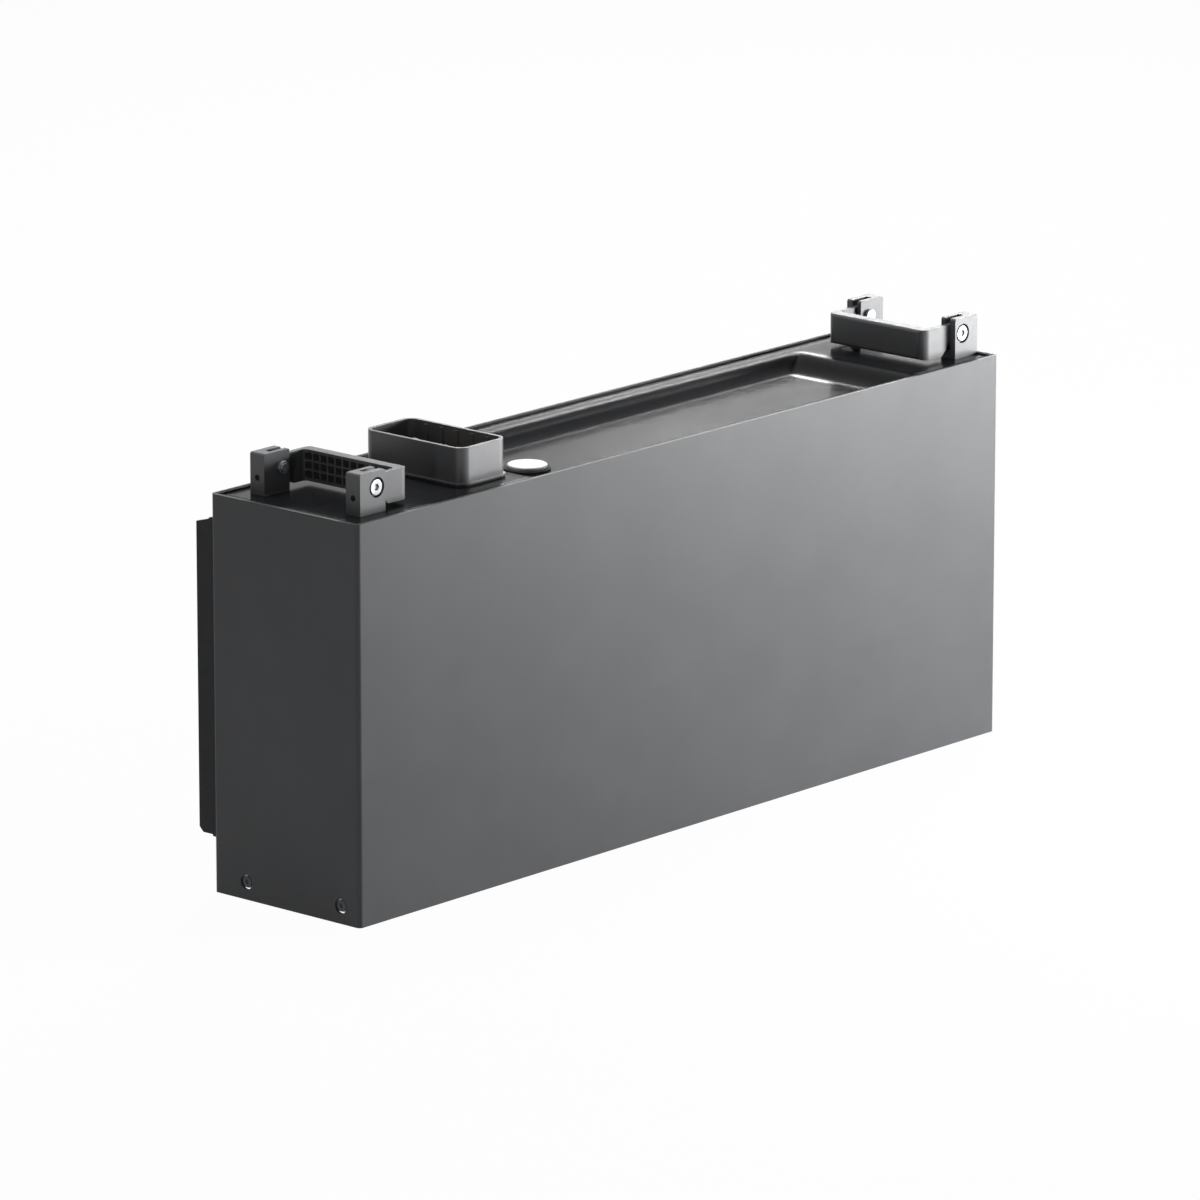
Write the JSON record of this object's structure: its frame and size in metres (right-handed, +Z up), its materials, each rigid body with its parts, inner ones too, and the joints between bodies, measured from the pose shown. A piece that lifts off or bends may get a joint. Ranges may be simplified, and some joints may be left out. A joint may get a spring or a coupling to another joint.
{
  "type": "home battery module",
  "caption": "Slim stacking battery module with folding carry handles, a plug tower on its recessed top, a socket underneath and a finned back.",
  "frame": {"origin": "bottom centre of the whole module, on the plane it stands on", "axes": "+X along the width, to the right seen from the front; +Y to the rear; +Z up"},
  "size_m": [0.67, 0.15, 0.3056],
  "materials": {
    "housing_paint": "satin dark grey powder coat with a fine grain",
    "cover_paint": "semi-gloss dark grey coating",
    "black_screw": "blackened steel screws",
    "sink_paint": "matt dark grey coating on cast aluminium",
    "handle_paint": "satin dark grey coating",
    "zinc_steel": "zinc-plated sheet",
    "screw_steel": "zinc-plated screws",
    "seal_rubber": "matt black rubber",
    "black_plastic": "moulded, fine texture",
    "contact_brass": "turned, bright",
    "vent_white": "moulded white",
    "white_plastic": "plain white insulation",
    "end_aluminium": "milled",
    "orange_plastic": "moulded orange insulation",
    "board_green": "green board with parts",
    "cell_wrap": "blue film wrap"
  },
  "bodies": {
    "module": {"outer_sleeve": "housing_paint", "base_pan": "zinc_steel", "top_cover": "cover_paint", "cover_seal": "seal_rubber", "rear_heat_sink": "sink_paint", "sink_gasket": "seal_rubber", "sink_screws": "screw_steel", "left_end_screws": "black_screw", "right_end_screws": "black_screw", "back_screws": "black_screw", "front_left_ear": "handle_paint", "rear_left_ear": "handle_paint", "front_right_ear": "handle_paint", "rear_right_ear": "handle_paint", "ear_screws": "screw_steel", "pivot_screws": "screw_steel", "pivot_nuts": "screw_steel", "connector_shroud": "black_plastic", "connector_gasket": "seal_rubber", "contact_carrier": "black_plastic", "power_pins": "contact_brass", "signal_pins": "contact_brass", "shroud_screws": "screw_steel", "socket_body": "black_plastic", "socket_tubes": "contact_brass", "socket_screws": "screw_steel", "vent_cap": "vent_white", "vent_body": "black_plastic", "vent_ring": "seal_rubber", "floor_mat": "seal_rubber", "left_end_plate": "end_aluminium", "right_end_plate": "end_aluminium", "cell_spacers": "white_plastic", "lower_strap": "zinc_steel", "upper_strap": "zinc_steel", "busbar_carrier": "orange_plastic", "busbars": "contact_brass", "positive_lead": "orange_plastic", "negative_lead": "seal_rubber", "bay_chassis": "zinc_steel", "monitor_board": "board_green", "board_standoffs": "contact_brass", "converter_board": "board_green", "thermal_pad": "white_plastic", "relay": "black_plastic", "fuse": "white_plastic", "cell_1": "cell_wrap", "cell_2": "cell_wrap", "cell_3": "cell_wrap", "cell_4": "cell_wrap", "cell_5": "cell_wrap", "cell_6": "cell_wrap", "cell_7": "cell_wrap", "cell_8": "cell_wrap", "cell_9": "cell_wrap", "cell_10": "cell_wrap", "cell_11": "cell_wrap", "cell_12": "cell_wrap"},
    "left_bail": {"left_handle": "handle_paint"},
    "right_bail": {"right_handle": "handle_paint"}
  },
  "joints": [
    {"name": "left_handle_fold", "type": "hinge", "parent": "module", "child": "left_bail", "pos_m": [-0.2976, -0.00775, 0.2942], "axis": [0, -1, 0], "range_deg": [0, 90]},
    {"name": "right_handle_fold", "type": "hinge", "parent": "module", "child": "right_bail", "pos_m": [0.3158, -0.00775, 0.2942], "axis": [0, 1, 0], "range_deg": [0, 90]}
  ]
}
